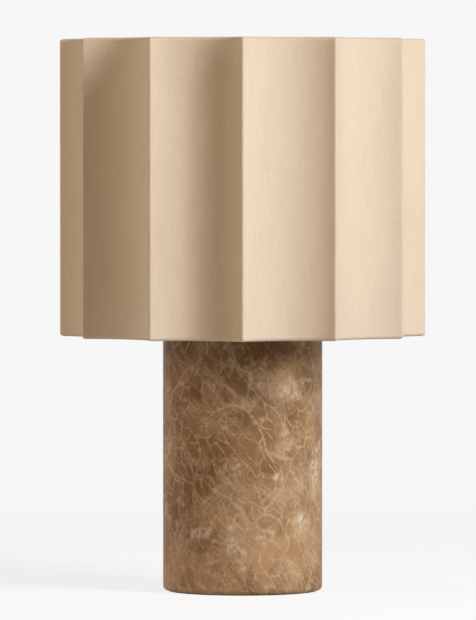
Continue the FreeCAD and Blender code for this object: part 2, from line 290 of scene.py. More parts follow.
class Growth(Graph):
    """A Geometry Nodes tree with named inputs, which ends in plain geometry of one material."""

    def __init__(self, name, inputs):
        super().__init__(bpy.data.node_groups.new(name, "GeometryNodeTree"))
        face = self.tree.interface
        face.new_socket("Geometry", in_out="INPUT", socket_type="NodeSocketGeometry")
        for label, kind in inputs.items():
            face.new_socket(label, in_out="INPUT", socket_type=kind)
        face.new_socket("Material", in_out="INPUT", socket_type="NodeSocketMaterial")
        face.new_socket("Geometry", in_out="OUTPUT", socket_type="NodeSocketGeometry")
        self.inputs = self.node("NodeGroupInput").socket.node

    def ask(self, name):
        """One of the tree's own inputs."""
        return Value(self, self.inputs.outputs[name])

    def done(self, geometry):
        """Ends the tree: instances made real, the material set."""
        real = self.node("GeometryNodeRealizeInstances", values={"Geometry": geometry})
        values = {"Geometry": real, "Material": self.ask("Material")}
        coated = self.node("GeometryNodeSetMaterial", values=values)
        self.node("NodeGroupOutput", values={"Geometry": coated})
        return self.tree


def grown(tree, start, material, sizes):
    """The plain mesh that a Geometry Nodes tree makes from a start mesh, with its inputs by name."""
    holder = placed("growing", start)
    modifier = holder.modifiers.new("grow", "NODES")
    modifier.node_group = tree
    given = dict(sizes, Material=material)
    for item in tree.interface.items_tree:
        if item.in_out == "INPUT" and item.name in given:
            modifier[item.identifier] = given[item.name]
    mesh = evaluated(holder)
    bpy.data.meshes.remove(start)
    return mesh


def evaluated(holder):
    """A holder's mesh with its modifiers carried out. The holder is removed."""
    depsgraph = bpy.context.evaluated_depsgraph_get()
    mesh = bpy.data.meshes.new_from_object(holder.evaluated_get(depsgraph), depsgraph=depsgraph)
    bpy.data.objects.remove(holder)
    if not mesh.polygons:
        raise ValueError("nothing grew from the start mesh")
    return mesh


# Shapes


def eased(corners):
    """A chain of (across, up) points through corners of (across, up, radius), rounded by their radius.

    A short step beside each arc keeps the shading of the flat stretches flat."""
    points = []
    for i, (x, z, *radius) in enumerate(corners):
        corner = Vector((x, z))
        if not radius:
            points.append(corner)
            continue
        arriving = (corner - Vector(corners[i - 1][:2])).normalized()
        leaving = (Vector(corners[(i + 1) % len(corners)][:2]) - corner).normalized()
        turn = arriving.angle_signed(leaving)
        trim = radius[0] * math.tan(abs(turn) / 2)
        inward = (leaving - arriving).normalized()
        centre = corner + inward * radius[0] / math.cos(turn / 2)
        first = corner - arriving * trim - centre
        steps = math.ceil(abs(turn) / ARC_STEP)
        points.append(centre + first - arriving * trim * ARC_SUPPORT)
        for k in range(steps + 1):
            points.append(centre + Matrix.Rotation(-turn * k / steps, 2) @ first)
        points.append(points[-1] + leaving * trim * ARC_SUPPORT)
    return points


def finished(bm, name="shape"):
    """A bmesh as a mesh with its doubles merged, its faces outwards and its smooth shading."""
    bmesh.ops.remove_doubles(bm, verts=bm.verts, dist=MERGE_DISTANCE)
    bmesh.ops.recalc_face_normals(bm, faces=bm.faces)
    mesh = bpy.data.meshes.new(name)
    bm.to_mesh(mesh)
    bm.free()
    mesh.shade_smooth()
    mesh.set_sharp_from_angle(angle=SHARP_ANGLE)
    return mesh


def settled(mesh):
    """A grown mesh with its doubles merged, its faces outwards and its smooth shading."""
    bm = bmesh.new()
    bm.from_mesh(mesh)
    tidy = finished(bm, mesh.name)
    bpy.data.meshes.remove(mesh)
    return tidy


def turned(outline, segments=96, closed=False):
    """A mesh of corners, as eased takes them, turned round the lamp's axis, with poles on the axis."""
    bm = bmesh.new()
    rings = []
    for x, z in eased(outline):
        if x < MERGE_DISTANCE:
            rings.append([bm.verts.new((0, 0, z))] * segments)
        else:
            angles = [2 * math.pi * j / segments for j in range(segments)]
            rings.append([bm.verts.new((x * math.cos(a), x * math.sin(a), z)) for a in angles])
    following = rings[1:] + rings[:1] if closed else rings[1:]
    for lower, upper in zip(rings, following):
        for j in range(segments):
            k = (j + 1) % segments
            corners = list(dict.fromkeys([lower[j], lower[k], upper[k], upper[j]]))
            if len(corners) > 2:
                bm.faces.new(corners)
    return finished(bm)


def drum(radius, bottom, top, edges, bore=0):
    """The corners of a disc or a tube. Its four edges' roundings start at the bore's lower edge."""
    places = ((bore, bottom), (radius, bottom), (radius, top), (bore, top))
    return [(*place, edge) if edge else place for place, edge in zip(places, edges)]


def slab(outline, width, bevel):
    """A mesh of an outline of (across, up) points with a width along Y and its long edges bevelled."""
    bm = bmesh.new()
    near = [bm.verts.new((x, -width / 2, z)) for x, z in outline]
    side = bm.faces.new(near)
    far = bmesh.ops.extrude_face_region(bm, geom=[side])["geom"]
    moved = [v for v in far if isinstance(v, bmesh.types.BMVert)]
    bmesh.ops.translate(bm, verts=moved, vec=(0, width, 0))
    edges = [e for e in bm.edges if e.calc_face_angle(0) > SHARP_ANGLE]
    bmesh.ops.bevel(bm, geom=edges, offset=bevel, segments=2, profile=0.5, affect="EDGES")
    return finished(bm)


def together(*meshes):
    """Several meshes as one."""
    bm = bmesh.new()
    for mesh in meshes:
        bm.from_mesh(mesh)
        bpy.data.meshes.remove(mesh)
    return finished(bm)


def beside(path, distance):
    """A path of (across, up) points moved sideways by a distance."""
    moved = []
    for i, point in enumerate(path):
        before = (point - path[max(i - 1, 0)]).normalized()
        after = (path[min(i + 1, len(path) - 1)] - point).normalized()
        along = (before + after).normalized()
        bend = before.angle(after, 0) if before.length and after.length else 0
        moved.append(point + Vector((along.y, -along.x)) * distance / math.cos(bend / 2))
    return moved


def walled(path, thickness):
    """The outline of a sheet or a strip whose middle follows a path."""
    return beside(path, thickness / 2) + beside(path, -thickness / 2)[::-1]


def upright(radius, bottom, top, rows):
    """Close points up a wall, for a thread to be pressed into."""
    return [(radius, bottom + (top - bottom) * k / rows) for k in range(rows + 1)]


def profile_mesh(points, along):
    """A mesh of a profile's (inset, up) points alone, each with its distance along the cloth."""
    mesh = bpy.data.meshes.new("profile")
    mesh.from_pydata([(x, 0, z) for x, z in points], [], [])
    mesh.attributes.new("along", "FLOAT", "POINT").data.foreach_set("value", along)
    return mesh


def distances(path):
    """How far along a path each of its points lies."""
    along = [0.0]
    for before, point in zip(path, path[1:]):
        along.append(along[-1] + (point - before).length)
    return along


def piece(name, mesh, material, node, stands_in=True):
    """A finished piece in the scene, on the body of a solid, which it may stand in for."""
    mesh.name = name
    mesh.materials.clear()
    mesh.materials.append(material)
    made = placed(name, mesh)
    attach(made, node.body)
    if stands_in:
        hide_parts(node.name)
    return made


def dressed(name, material, bevel=None):
    """A solid that keeps its shape, with a material and its sharp edges broken."""
    solid = frame["nodes"][name]
    solid.data.materials.clear()
    solid.data.materials.append(material)
    if bevel:
        solid.modifiers.new("weld", "WELD").merge_threshold = MERGE_DISTANCE
        edge = solid.modifiers.new("bevel", "BEVEL")
        edge.width = bevel
        edge.segments = 2
        edge.angle_limit = SHARP_ANGLE
    return solid


# Trees that grow the repeated and the ruled shapes


def fluted_tree():
    """Carries a profile round the shade: an arc for each flute, a small arc over each ridge.

    The profile's X is its inset from the outside. The UV map holds the cloth's lengths, in metres."""
    counts = ("Flutes", "Flute Steps", "Ridge Steps")
    sizes = ("Radius", "Flute Depth", "Ridge Radius", "Least Ridge")
    inputs = {**dict.fromkeys(counts, "NodeSocketInt"), **dict.fromkeys(sizes, "NodeSocketFloat")}
    g = Growth("Fluted wall", inputs)
    flutes, flute_steps, ridge_steps, radius, depth, ridge, least = [g.ask(name) for name in inputs]
    profile = g.ask("Geometry")
    rows = g.node("GeometryNodeAttributeDomainSize", {"component": "MESH"}, {"Geometry": profile})
    per_flute = ridge_steps * 2 + flute_steps
    grid_size = {"Vertices X": flutes * per_flute + 1, "Vertices Y": rows}
    grid = g.node("GeometryNodeMeshGrid", values=grid_size)
    index = g.node("GeometryNodeInputIndex")
    step = g.maths("FLOOR", (index + 0.5) / rows)
    row = index - step * rows + 0.25

    place = g.node("GeometryNodeInputPosition")
    sampled = {"Geometry": profile, "Value": place, "Index": row}
    where = g.node("GeometryNodeSampleIndex", {"data_type": "FLOAT_VECTOR"}, sampled)
    inset, _, height = g.parts(where)
    attribute = g.node("GeometryNodeInputNamedAttribute", {"data_type": "FLOAT"}, {"Name": "along"})
    sampled = {"Geometry": profile, "Value": attribute, "Index": row}
    along = g.node("GeometryNodeSampleIndex", {"data_type": "FLOAT"}, sampled)

    half_step = math.pi / flutes
    sine = g.maths("SINE", half_step)
    cosine = g.maths("COSINE", half_step)
    nose = radius - ridge
    floor = radius - depth - ridge
    distance = (nose * nose - floor * floor) / ((nose * cosine - floor) * 2)
    hollow = distance - radius + depth

    flute = g.maths("FLOOR", (step + 0.5) / per_flute)
    passed = step - flute * per_flute
    second = passed > ridge_steps + flute_steps
    on_flute = (passed > ridge_steps) * (1 - second)
    round_off = g.most(ridge - inset, least)
    reach = hollow + inset + round_off
    lean = g.maths("ARCSINE", distance * sine / reach)
    centre = distance * cosine - reach * g.maths("COSINE", lean)
    ridge_angle = half_step * 2 * (flute + second) - math.pi / 2
    rounding = ridge_angle + lean * (passed - second * per_flute) / ridge_steps
    share = (passed - ridge_steps) / flute_steps
    flute_angle = half_step * 2 * flute + half_step - math.pi / 2
    turning = flute_angle + (lean - half_step) * (1 - share * 2)

    def blended(function):
        on_ridge = centre * g.maths(function, ridge_angle) + round_off * g.maths(function, rounding)
        hollow_centre = distance * g.maths(function, flute_angle)
        in_flute = hollow_centre - (hollow + inset) * g.maths(function, turning)
        return on_ridge + on_flute * (in_flute - on_ridge)

    position = g.joined(blended("COSINE"), blended("SINE"), height)
    wall = g.node("GeometryNodeSetPosition", values={"Geometry": grid, "Position": position})

    outer_lean = g.maths("ARCSINE", distance * sine / (hollow + ridge))
    ridge_length = ridge * outer_lean
    flute_length = (outer_lean - half_step) * 2 * hollow
    before = flute * (ridge_length * 2 + flute_length)
    climbed = g.maths("MINIMUM", passed / ridge_steps, 1.0) * ridge_length
    crossed = g.maths("MINIMUM", g.most(share, 0.0), 1.0) * flute_length
    left = g.most((passed - ridge_steps - flute_steps) / ridge_steps, 0.0) * ridge_length
    cloth = g.joined(before + climbed + crossed + left, along, 0.0)
    on_points = g.node("GeometryNodeFieldOnDomain", {"data_type": "FLOAT_VECTOR"}, {"Value": cloth})
    settings = {"data_type": "FLOAT2", "domain": "CORNER"}
    values = {"Geometry": wall, "Name": "cloth", "Value": on_points}
    return g.done(g.node("GeometryNodeStoreNamedAttribute", settings, values))


def repeat_tree():
    """Sets copies of a mesh round the lamp's axis, evenly, from a first angle."""
    g = Growth("Round the axis", {"Count": "NodeSocketInt", "First Angle": "NodeSocketFloat"})
    count = g.ask("Count")
    points = g.node("GeometryNodeMeshLine", {"mode": "OFFSET"}, {"Count": count, "Offset": (0, 0, 0)})
    angle = g.ask("First Angle") + g.node("GeometryNodeInputIndex") * (math.tau / count)
    turn = g.node("FunctionNodeEulerToRotation", values={"Euler": g.joined(0.0, 0.0, angle)})
    values = {"Points": points, "Instance": g.ask("Geometry"), "Rotation": turn}
    return g.done(g.node("GeometryNodeInstanceOnPoints", values=values))


def thread_tree():
    """Presses a thread into the upright wall of a turned mesh, between two levels.

    Flat is the share of the wave's height that the flanks take up: less makes flatter crests."""
    names = ("Radius", "Pitch", "Depth", "Bottom", "Top", "Flat")
    g = Growth("Thread", dict.fromkeys(names, "NodeSocketFloat"))
    radius, pitch, depth, bottom, top, flat = [g.ask(name) for name in names]
    x, y, z = g.parts(g.node("GeometryNodeInputPosition"))
    out = g.joined(x, y, 0.0)
    angle = g.maths("ARCTAN2", y, x)
    wave = g.maths("SINE", (z / pitch) * math.tau - angle)
    groove = g.ramp(wave, flat * -1, flat)
    inside = g.ramp(z, bottom, bottom + pitch) * (1 - g.ramp(z, top - pitch, top))
    on_wall = g.length(out) > radius - MERGE_DISTANCE
    shift = g.scaled(g.vector("NORMALIZE", out), groove * inside * on_wall * depth * -1)
    values = {"Geometry": g.ask("Geometry"), "Offset": shift}
    return g.done(g.node("GeometryNodeSetPosition", values=values))


# Finishes

YARN = 0.62 * MM
MIDDLE = (0.5, 0.5, 0.5)


def linen_finish(colour):
    """Natural linen bonded to a sheet: a fine plain weave with upright slubs and a few dark flecks."""
    f = Finish("linen")
    cloth = f.node("ShaderNodeUVMap", {"uv_map": "cloth"})
    u, v, _ = f.parts(cloth)
    turns = math.tau / YARN
    weave = f.maths("SINE", u * turns) * f.maths("SINE", v * turns)
    upright = f.noise(f.joined(u, v * 0.035, 0.0), 0.75 * MM, 3.0, 0.6)
    level = f.noise(f.joined(u * 0.05, v, 0.0), 0.7 * MM, 2.0)
    broad = f.noise(f.joined(u, v * 0.3, 0.0), 16 * MM, 3.0)
    grain = f.noise(cloth, 0.5 * MM, 3.0, 0.7)
    tone = upright * 0.36 + level * 0.2 + broad * 0.2 + grain * 0.24
    light = [min(c * 1.05, 1) for c in colour]
    dark = [c * shade for c, shade in zip(colour, (0.88, 0.86, 0.83))]
    body = f.colours(tone, (0.3, dark), (0.52, colour), (0.75, light))
    fleck = f.noise(f.joined(u, v * 0.6, 0.5), 1.6 * MM, 1.0)
    body = f.mix(f.ramp(fleck, 0.80, 0.86) * 0.5, body, srgb(150, 118, 84))
    height = weave * 0.25 + upright * 0.5 + level * 0.3
    sockets = {"Base Color": body, "Roughness": 0.95, "Specular IOR Level": 0.12, "Sheen Weight": 0.06}
    return f.done(sockets, height, 0.12 * MM)


def lining_finish():
    """Matt white sheet with a faint fibre."""
    f = Finish("lining sheet")
    place = f.place()
    cloudy = f.noise(place, 6 * MM, 4.0)
    body = f.colours(cloudy, (0.3, srgb(236, 231, 220)), (0.7, srgb(246, 243, 235)))
    fibre = f.noise(place, 0.5 * MM, 3.0)
    return f.done({"Base Color": body, "Roughness": 0.7, "Specular IOR Level": 0.3}, fibre, 0.05 * MM)


def wire_finish(colour):
    """White powder coat with its orange-peel skin."""
    f = Finish("white wire")
    place = f.place()
    peel = f.noise(place, 0.9 * MM, 2.0)
    cloudy = f.noise(place, 20 * MM, 3.0)
    body = f.colours(cloudy, (0.3, [c * 0.93 for c in colour]), (0.7, colour))
    return f.done({"Base Color": body, "Roughness": 0.42 + peel * 0.12}, peel, 0.06 * MM)


def stone_finish(stone, radius):
    """Brown broken marble: calm pieces, soft pale joints that come and go, and feathery patches, with
    painted light and shade on its sides and painted shade under the lampshade's rim.
    """
    f = Finish("brown marble")
    place = f.place()

    def shifted(where, seed):
        """The same place in another part of the noise."""
        return f.vector("ADD", where, Vector((0.13, 0.07, 0.11)) * seed)

    def pushed(where, size, amount, seed, detail):
        """Places moved about by a cloudy amount, sizes in mm."""
        cloud = f.noise(shifted(place, seed), size * MM, detail, 0.55, out="Color")
        return f.vector("ADD", where, f.scaled(f.vector("SUBTRACT", cloud, MIDDLE), amount * MM))

    def leaning(where, degrees, length):
        """Places turned in the view from the front and drawn out along the turned upright."""
        turn = {"Vector": where, "Rotation": (0, math.radians(degrees), 0), "Scale": (1, 1, length)}
        return f.node("ShaderNodeMapping", {"vector_type": "TEXTURE"}, turn)

    def seen(size, low, high, seed):
        """Where something shows, in clouds of a size in mm."""
        return f.ramp(f.noise(shifted(place, seed), size * MM, 3.0, 0.55), low, high)

    wavy = pushed(place, 30, 14, 0.0, 2.0)
    calm = pushed(wavy, 5, 1.2, 0.4, 3.0)
    bent = pushed(wavy, 6, 2.6, 0.4, 4.0)
    near = pushed(place, 6, 4.0, 0.4, 4.0)
    shards = leaning(calm, -38, 5.0)
    crossing = leaning(calm, 35, 5.0)
    breaks = f.ramp(f.noise(place, 1.6 * MM, 3.0, 0.65), 0.3, 0.7)
    streaks = f.ramp(f.noise(leaning(calm, 40, 2.5), 2.6 * MM, 5.0, 0.7), 0.36, 0.66)

    def joint(where, size, thin, thick, seed, low, high):
        """Soft joints between pieces of a size. Their width, in mm, and their strength change."""
        cells = {"Vector": shifted(where, seed), "Scale": 1 / (size * MM)}
        edge = f.node("ShaderNodeTexVoronoi", {"feature": "DISTANCE_TO_EDGE"}, cells, "Distance") * size
        swell = f.ramp(f.noise(shifted(place, seed + 1.3), size * 0.6 * MM, 3.0, 0.6), 0.4, 0.75)
        line = 1 - f.ramp(edge / (swell * (thick - thin) + thin), 0.0, 1.0)
        return line * seen(size * 0.9, low, high, seed + 3.7) * (0.45 + breaks * 0.55)

    def blotch(across, height, size, degrees=0.0, length=1.0):
        """A place in front that belongs together, from 0 outside to 1 in the middle, in mm."""
        centre = Vector((across, -math.sqrt((radius / MM) ** 2 - across**2), height)) * MM
        away = leaning(f.vector("SUBTRACT", near, centre), degrees, length)
        return 1 - f.ramp(f.length(away) / (size * MM), 0.25, 1.0)

    # The ground: clouds, mottled pieces, and broad painted light and shade on the column's sides
    clouds = f.noise(shifted(place, 9.0), 34 * MM, 5.0, 0.55)
    mottle = f.noise(bent, 3.5 * MM, 4.0, 0.7)
    grain = f.noise(place, 0.8 * MM, 3.0, 0.7)
    cells = {"Vector": shifted(bent, 1.0), "Scale": 1 / (12 * MM)}
    pieces, _, _ = f.parts(f.node("ShaderNodeTexVoronoi", {"feature": "F1"}, cells, "Color"))
    # Painted light: a broad lighter place at the lower right, which faces the key light, and two small
    # lighter places in front
    painted_light_and_paler = blotch(34, 42, 62) * 0.10 + blotch(8, 98, 24) * 0.07 + blotch(10, 18, 20) * 0.07
    # Painted shade: a broad darker place on the left, which faces away from the key light, and a small
    # darker place in front
    painted_shade_and_darker = blotch(-36, 95, 80) * 0.10 + blotch(0, 56, 18) * 0.08
    tone = clouds * 0.62 + mottle * 0.20 + grain * 0.12 + pieces * 0.12 + painted_light_and_paler - painted_shade_and_darker - 0.025
    body = f.colours(tone, (0.32, stone.dark), (0.5, stone.brown), (0.70, stone.light))

    # Painted shade just under the lampshade's rim, in a dark reddish stone colour, and where small
    # pieces lie in a pale haze
    rust_and_painted_shade = blotch(16, 151, 19, 90, 1.9)
    zone = f.most(seen(24, 0.47, 0.61, 9.1), blotch(-4, 27, 20), blotch(12, 52, 16) * 0.7)
    haze = zone * f.ramp(f.noise(shifted(shards, 0.6), 3 * MM, 5.0, 0.75), 0.32, 0.72)

    # Joints between long, large and small pieces
    slant = joint(shards, 7, 0.35, 1.1, 2.0, 0.38, 0.54)
    steep = joint(crossing, 9, 0.35, 1.0, 7.0, 0.46, 0.60)
    rare = joint(bent, 33, 0.5, 2.6, 4.0, 0.40, 0.60)
    big = joint(bent, 12, 0.35, 1.7, 1.0, 0.38, 0.64)
    middle = joint(bent, 5.5, 0.35, 1.3, 6.0, 0.40, 0.62) * (0.2 + zone * 0.8)
    small = joint(bent, 2.8, 0.4, 1.1, 5.5, 0.30, 0.50) * zone
    veins = f.most(rare * 0.66, big * 0.4, slant * 0.66, steep * 0.32, middle * 0.38, small * 0.4)
    # The joints fade in the painted shade under the rim
    veins = veins * (1 - rust_and_painted_shade * 0.6)

    # Whitish feathery patches
    fans = f.most(
        blotch(27, 124, 6, 58, 4.2),
        blotch(43, 72, 8, 5, 2.5),
        blotch(36, 44, 9, 75, 1.8),
        blotch(-4, 28, 7, -38, 2.2) * 0.7,
        blotch(-38, 40, 7, 60, 1.6) * 0.5,
        seen(16, 0.58, 0.72, 12.7) * 0.8,
    )
    body = f.mix(haze * 0.4, body, stone.pale)
    # Painted shade under the lampshade's rim, partly a darker reddish stone
    body = f.mix(rust_and_painted_shade * 0.72, body, stone.rust_and_painted_shade)
    body = f.mix(veins, body, stone.vein)
    # No whitish patches in the painted shade under the rim
    body = f.mix(fans * streaks * (1 - rust_and_painted_shade) * 0.75, body, stone.white)
    sockets = {"Base Color": body, "Roughness": 0.48 + grain * 0.08, "Specular IOR Level": 0.16}
    return f.done(sockets, grain * 0.2 - veins * 0.25, 0.04 * MM)


def plastic_finish(name, colour, roughness, grain_size):
    """Moulded plastic with a fine sparked grain and slight handling marks."""
    f = Finish(name)
    place = f.place()
    grain = f.noise(place, grain_size, 3.0)
    marks = f.noise(place, 14 * MM, 4.0, 0.6)
    body = f.colours(marks, (0.3, [c * 0.86 for c in colour]), (0.7, [c * 1.08 for c in colour]))
    return f.done({"Base Color": body, "Roughness": roughness - 0.05 + marks * 0.1}, grain, 0.03 * MM)


def metal_finish(name, colour, roughness, brushed):
    """Metal with fine lines turned round the axis, or a mottled plated skin."""
    f = Finish(name)
    place = f.place()
    x, y, z = f.parts(place)
    if brushed:
        out = f.length(f.joined(x, y, 0.0))
        lines = f.noise(f.joined(out, z, f.maths("ARCTAN2", y, x) * MM), 0.25 * MM, 3.0)
    else:
        lines = f.noise(place, 2.5 * MM, 5.0, 0.65)
    patina = f.noise(place, 9 * MM, 4.0)
    body = f.colours(patina, (0.3, [c * 0.84 for c in colour]), (0.7, colour))
    sockets = {"Base Color": body, "Metallic": 1.0, "Roughness": roughness + (lines - 0.5) * 0.14}
    return f.done(sockets, lines, 0.02 * MM)


def porcelain_finish():
    """Unglazed porcelain."""
    f = Finish("porcelain")
    speck = f.noise(f.place(), 0.8 * MM, 4.0)
    body = f.colours(speck, (0.3, srgb(224, 218, 206)), (0.6, srgb(240, 236, 226)))
    return f.done({"Base Color": body, "Roughness": 0.6 + speck * 0.1}, speck, 0.03 * MM)


def felt_finish():
    """Dark pressed felt."""
    f = Finish("felt")
    place = f.place()
    fibre = f.noise(place, 0.5 * MM, 5.0, 0.75)
    tufts = f.noise(place, 4 * MM, 4.0)
    body = f.colours(fibre * 0.6 + tufts * 0.4, (0.35, srgb(44, 37, 31)), (0.65, srgb(86, 74, 62)))
    sockets = {"Base Color": body, "Roughness": 1.0, "Specular IOR Level": 0.1, "Sheen Weight": 0.3}
    return f.done(sockets, fibre, 0.25 * MM)


def opal_finish():
    """Opal white envelope, unlit, with a soft gloss."""
    f = Finish("opal")
    cloudy = f.noise(f.place(), 12 * MM, 3.0)
    body = f.colours(cloudy, (0.3, srgb(240, 238, 230)), (0.7, srgb(247, 246, 240)))
    return f.done({"Base Color": body, "Roughness": 0.32 + cloudy * 0.06, "Coat Weight": 0.15})


# Settings that a user would change


def number_setting(name, description, default):
    """A plain number."""
    return FloatProperty(name=name, description=description, default=default)


def length_setting(name, description, default):
    """A length, in metres."""
    return FloatProperty(name=name, description=description, default=default, unit="LENGTH")


def colour_setting(name, description, default):
    """A colour."""
    return FloatVectorProperty(name=name, description=description, default=default, subtype="COLOR")


class LampShadeSettings(bpy.types.PropertyGroup):
    """Sizes and colour of the shade."""

    flutes: IntProperty(name="Flutes", description="Number of hollow flutes", default=12, min=6, max=24)
    flute_depth: length_setting("Flute depth", "How far a flute's floor lies inside the ridges", 15 * MM)
    ridge_radius: length_setting("Ridge radius", "Rounding of the outside of each ridge", 1.2 * MM)
    thickness: length_setting("Cloth thickness", "Thickness of the linen with its backing", 0.6 * MM)
    hem: length_setting("Hem", "How far the cloth is turned in over each wire", 16 * MM)
    linen: colour_setting("Linen", "Colour of the linen", srgb(228, 210, 187))


class LampStoneSettings(bpy.types.PropertyGroup):
    """Rounding and colours of the stone column."""

    arris: length_setting("Arris", "Rounding of the column's two rims", 2.5 * MM)
    dark: colour_setting("Dark ground", "Darkest pieces", srgb(120, 87, 55))
    brown: colour_setting("Brown ground", "Main colour", srgb(150, 113, 77))
    light: colour_setting("Light ground", "Palest pieces", srgb(188, 150, 112))
    # Colour of the painted shade just under the lampshade's rim, a dark reddish stone colour
    rust_and_painted_shade: colour_setting("Rust and painted shade", "Dark reddish blotch under the shade", srgb(104, 58, 28))
    pale: colour_setting("Haze", "Ground between the small pieces", srgb(200, 168, 132))
    vein: colour_setting("Joints", "Colour of the pale joints", srgb(222, 194, 160))
    white: colour_setting("Patches", "Colour of the whitish patches", srgb(234, 217, 192))


class LampFittingSettings(bpy.types.PropertyGroup):
    """Colours and thread pitches of the frame, the lampholder and the bulb."""

    wire: colour_setting("Wire", "Powder coat of the shade's frame", srgb(240, 238, 232))
    plastic: colour_setting("Lampholder", "Moulded lampholder and ring", srgb(38, 37, 36))
    brass: colour_setting("Brass", "Plate on the stone and contacts", (0.72, 0.52, 0.26))
    holder_pitch: length_setting("Holder thread", "Pitch of the sleeve's outside thread", 2.5 * MM)
    cap_pitch: length_setting("Cap thread", "Pitch of the bulb's screw cap", 3.6 * MM)


class LampStageSettings(bpy.types.PropertyGroup):
    """Camera and lights."""

    camera_distance: length_setting("Camera distance", "From the lamp's axis", 3.916)
    camera_height: length_setting("Camera height", "Above the table", 0.2825)
    camera_pitch: FloatProperty(
        name="Camera pitch",
        description="Tilt below the horizon",
        default=math.radians(1.657),
        unit="ROTATION",
    )
    lens: number_setting("Lens", "Focal length in millimetres", 377.4)
    key_power: number_setting("Key light", "Tall light at the right, in watts", 37.6)
    side_power: number_setting("Side light", "Wide light at the left, in watts", 10.8)
    warm_power: number_setting("Warm light", "Weak warm light at the front left, in watts", 5.5)
    fill: colour_setting("Fill", "Light from the front half of the room", (0.03, 0.02, 0.01))
    back_fill: colour_setting("Back fill", "Light from the back of the room", (0.45, 0.43, 0.40))
    ground: number_setting("Background", "Brightness of floor and backdrop", 0.93)


# Operators

CAMERA_ACROSS = -0.0028

# Each light's azimuth to the right of the front, elevation, width, height and colour
LIGHTS = {
    "key": (math.radians(50), math.radians(27), 0.5, 1.3, (1.0, 1.0, 1.0)),
    "side": (math.radians(-95), math.radians(20), 1.2, 1.2, (1.0, 0.97, 0.95)),
    "warm": (math.radians(-50), math.radians(20), 1.0, 1.0, (1.0, 0.55, 0.1)),
}
LIGHT_DISTANCE = 2.0
LIGHT_TARGET = (0, 0, 0.2)

# How far back a direction points where the room's back light starts and where it is full
BACK_STARTS = 0.35
BACK_FULL = 0.75

# The grey that the floor lights the lamp with, the share of its look that takes a shadow, the light
# on that share, and the distances from the lamp over which the shadow fades away
FLOOR_HALF_WIDTH = 30.0
FLOOR_BOUNCE = 0.6
FLOOR_SHADOW_SHARE = 0.22
FLOOR_LIGHT = 0.6
FLOOR_SHADOW_NEAR = 0.3
FLOOR_SHADOW_FAR = 1.1


class LAMP_OT_stage(bpy.types.Operator):
    """Set up the floor, the room, the three lights and the camera"""

    bl_idname = "lamp.stage"
    bl_label = "Stage"

    def execute(self, context):
        stage = context.scene.lamp_stage
        context.scene.view_settings.view_transform = "Standard"
        self.floor(stage)
        self.world(context.scene, stage)
        for name, about in LIGHTS.items():
            self.light(name, getattr(stage, name + "_power"), *about)
        self.camera(context.scene, stage)
        return {"FINISHED"}

    def seen(self, graph):
        """1 for what the camera sees, straight or through a gloss or a glass."""
        path = graph.node("ShaderNodeLightPath").socket.node.outputs
        rays = ("Is Camera Ray", "Is Glossy Ray", "Is Transmission Ray")
        return graph.most(*[Value(graph, path[ray]) for ray in rays])

    def floor(self, stage):
        """A wide pale floor that keeps a soft shadow near the lamp and is clear from below."""
        f = Finish("floor")
        x, y, _ = f.parts(f.place())
        near = 1 - f.ramp(f.length(f.joined(x, y, 0.0)), FLOOR_SHADOW_NEAR, FLOOR_SHADOW_FAR)
        plain = f.node("ShaderNodeBsdfDiffuse", values={"Color": grey(FLOOR_BOUNCE)})
        kept = f.node("ShaderNodeBsdfDiffuse", values={"Color": grey(FLOOR_SHADOW_SHARE)})
        glow = f.node("ShaderNodeEmission", values={"Color": grey(stage.ground)})
        dim_level = stage.ground - FLOOR_SHADOW_SHARE * FLOOR_LIGHT
        dim = f.node("ShaderNodeEmission", values={"Color": grey(dim_level)})
        shaded = f.node("ShaderNodeAddShader", values={0: dim, 1: kept})
        looks = f.node("ShaderNodeMixShader", values={0: near, 1: glow, 2: shaded})
        surface = f.node("ShaderNodeMixShader", values={0: self.seen(f), 1: plain, 2: looks})
        below = f.node("ShaderNodeNewGeometry", out="Backfacing")
        clear = f.node("ShaderNodeBsdfTransparent")
        surface = f.node("ShaderNodeMixShader", values={0: below, 1: surface, 2: clear})
        f.node("ShaderNodeOutputMaterial", values={"Surface": surface})
        bm = bmesh.new()
        bmesh.ops.create_grid(bm, x_segments=1, y_segments=1, size=FLOOR_HALF_WIDTH)
        mesh = bpy.data.meshes.new("floor")
        bm.to_mesh(mesh)
        bm.free()
        mesh.materials.append(f.material)
        floor = placed("floor", mesh)

    def world(self, scene, stage):
        """A dim room, lighter at its back, that the camera sees as a plain pale ground."""
        scene.world = bpy.data.worlds.new("studio")
        scene.world.use_nodes = True
        g = Graph(scene.world.node_tree)
        g.tree.nodes.clear()
        _, back, _ = g.parts(g.node("ShaderNodeTexCoord", out="Generated"))
        colour = g.mix(g.ramp(back, BACK_STARTS, BACK_FULL), stage.fill, stage.back_fill)
        fill = g.node("ShaderNodeBackground", values={"Color": colour})
        ground = g.node("ShaderNodeBackground", values={"Color": grey(stage.ground)})
        surface = g.node("ShaderNodeMixShader", values={0: self.seen(g), 1: fill, 2: ground})
        g.node("ShaderNodeOutputWorld", values={"Surface": surface})

    def light(self, name, power, azimuth, elevation, width, height, colour):
        """A soft light that faces the lamp."""
        light = bpy.data.lights.new(name, "AREA")
        light.shape = "RECTANGLE"
        light.size = width
        light.size_y = height
        light.energy = power
        light.color = colour
        across = math.cos(elevation)
        towards = Vector((math.sin(azimuth) * across, -math.cos(azimuth) * across, math.sin(elevation)))
        lamp = placed(name, light)
        lamp.location = Vector(LIGHT_TARGET) + towards * LIGHT_DISTANCE
        lamp.rotation_euler = towards.to_track_quat("Z", "Y").to_euler()

    def camera(self, scene, stage):
        """The camera at the picture's viewing angle."""
        data = bpy.data.cameras.new("camera")
        data.lens = stage.lens
        camera = placed("camera", data)
        camera.location = (CAMERA_ACROSS, -stage.camera_distance, stage.camera_height)
        camera.rotation_euler = (math.pi / 2 - stage.camera_pitch, 0, 0)
        scene.camera = camera


